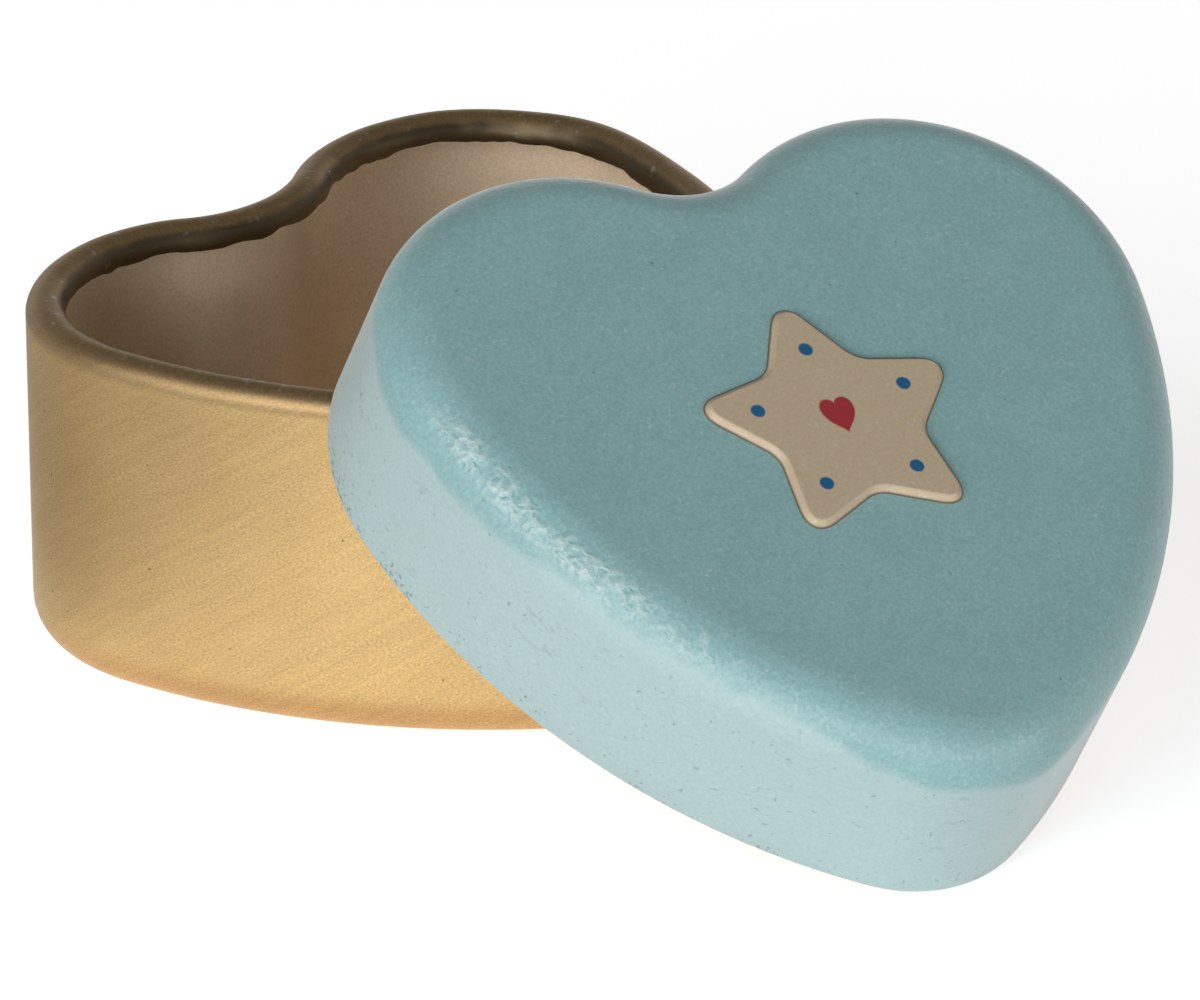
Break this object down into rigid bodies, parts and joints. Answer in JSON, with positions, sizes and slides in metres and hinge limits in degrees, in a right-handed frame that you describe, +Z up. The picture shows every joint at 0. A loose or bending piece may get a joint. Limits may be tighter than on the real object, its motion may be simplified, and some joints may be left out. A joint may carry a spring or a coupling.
{
  "type": "baby tooth box",
  "caption": "Heart-shaped tin box for milk teeth: pressed cup with a rolled rim, and a slip-on lid taken off and leaning on it, with a raised star.",
  "frame": {"origin": "on the cup's flat underside, level with the centres of the heart's two lobes", "axes": "+Z up; +Y along the cup's mirror line towards the heart's notch, -Y towards its tip; +X to the right-hand lobe seen from above"},
  "size_m": [0.0502, 0.0741, 0.0347],
  "materials": {
    "gold_lacquer": "satin gold lacquer on tinplate",
    "blue_enamel": "matt printed enamel on tinplate"
  },
  "bodies": {
    "base": {"base_tin": "gold_lacquer"},
    "lid": {"lid_tin": "blue_enamel"}
  },
  "joints": [
    {"name": "lid_lift", "type": "slide", "parent": "base", "child": "lid", "axis": [0, 0, 1], "range_m": [0, 0.03]}
  ]
}
